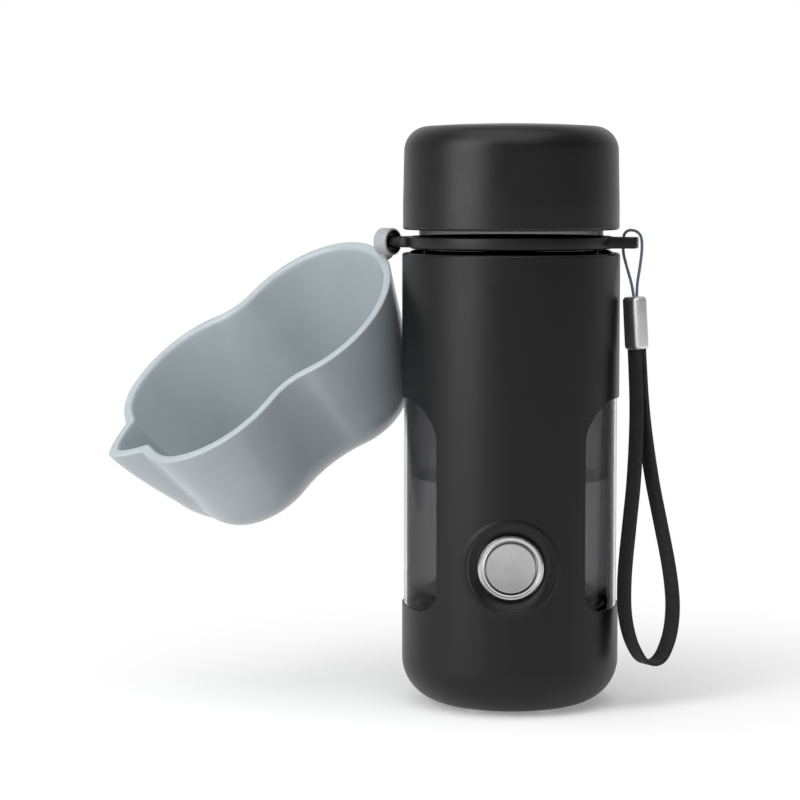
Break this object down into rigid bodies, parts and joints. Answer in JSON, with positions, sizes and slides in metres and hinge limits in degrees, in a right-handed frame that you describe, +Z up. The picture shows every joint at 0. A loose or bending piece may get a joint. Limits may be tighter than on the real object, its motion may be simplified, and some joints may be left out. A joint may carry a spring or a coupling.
{
  "type": "travel water bottle with drinking bowl",
  "caption": "Upright screw-cap water bottle in a windowed case, with a clip-on pouring bowl, a wrist lanyard and a push-button lamp in its base.",
  "frame": {"origin": "centre of the foot, on the surface that the bottle stands on", "axes": "+Z up the bottle's axis, -Y towards the push button, -X towards the bowl, +X towards the lanyard"},
  "size_m": [0.1985, 0.0852, 0.2],
  "materials": {
    "case_black": "satin soft-touch black",
    "smoky_clear": "smoky clear, polished",
    "vessel_clear": "smoky clear, polished",
    "frosted_clear": "frosted clear",
    "black_rubber": "matt",
    "white_rubber": "matt silicone",
    "screw_steel": "plated",
    "inner_plastic": "moulded",
    "inner_black": "moulded",
    "cell_steel": "plated can",
    "contact_metal": "plated spring sheet",
    "board_green": "solder-masked laminate",
    "ribbon_film": "polyimide film",
    "brushed_metal": "brushed, anodised",
    "bowl_grey": "satin blue-grey",
    "loop_grey": "satin grey",
    "cord_grey": "braided, blue-grey",
    "crimp_metal": "satin metal",
    "strap_black": "woven webbing"
  },
  "bodies": {
    "root": {"case": "case_black", "window_pane_left": "smoky_clear", "window_pane_right": "smoky_clear", "vessel": "vessel_clear", "vessel_seal": "black_rubber", "light_lens": "frosted_clear", "base_cover": "case_black", "foot_pad": "black_rubber", "cover_screws": "screw_steel", "chassis": "inner_plastic", "battery_holder": "inner_black", "battery_cells": "cell_steel", "battery_contacts": "contact_metal", "led_board": "board_green", "led_lamp": "frosted_clear", "switch_board": "board_green", "tact_switch": "inner_black", "switch_ribbon": "ribbon_film", "button_housing": "brushed_metal", "button_nut": "screw_steel", "button_seal": "black_rubber", "button_spring": "screw_steel"},
    "button": {"button_cap": "brushed_metal", "button_clip": "screw_steel"},
    "gasket": {"cap_gasket": "white_rubber"},
    "cap": {"cap_shell": "case_black", "cap_liner": "inner_black"},
    "ring": {"neck_ring": "case_black"},
    "bowl": {"bowl": "bowl_grey", "bowl_loop": "loop_grey"},
    "lanyard": {"lanyard_cord": "cord_grey", "lanyard_crimp": "crimp_metal", "wrist_strap": "strap_black"}
  },
  "joints": [
    {"name": "button_press", "type": "slide", "parent": "root", "child": "button", "axis": [0, 1, 0], "range_m": [0, 0.0015], "stiffness_N_per_m": 400, "springref_m": -0.001, "deforming": ["button_spring"]},
    {"name": "cap_lift", "type": "slide", "parent": "root", "child": "gasket", "axis": [0, 0, 1], "range_m": [0, 0.01]},
    {"name": "cap_turn", "type": "hinge", "parent": "gasket", "child": "cap", "pos_m": [0, 0, 0.18], "axis": [0, 0, 1], "range_deg": [0, 900]},
    {"name": "ring_swivel", "type": "hinge", "parent": "root", "child": "ring", "pos_m": [0, 0, 0.15935], "axis": [0, 0, 1], "continuous": true},
    {"name": "bowl_swing", "type": "hinge", "parent": "ring", "child": "bowl", "pos_m": [-0.04277, 0.00677, 0.15935], "axis": [0.9877, -0.1564, 0], "range_deg": [0, 110]},
    {"name": "lanyard_swing", "type": "hinge", "parent": "ring", "child": "lanyard", "pos_m": [0.04148, -0.00657, 0.15935], "axis": [-0.1564, -0.9877, 0], "range_deg": [0, 90]}
  ],
  "couplings": [
    {"joint": "cap_lift", "follows": "cap_turn", "m_per_rad": 0.00063661}
  ]
}
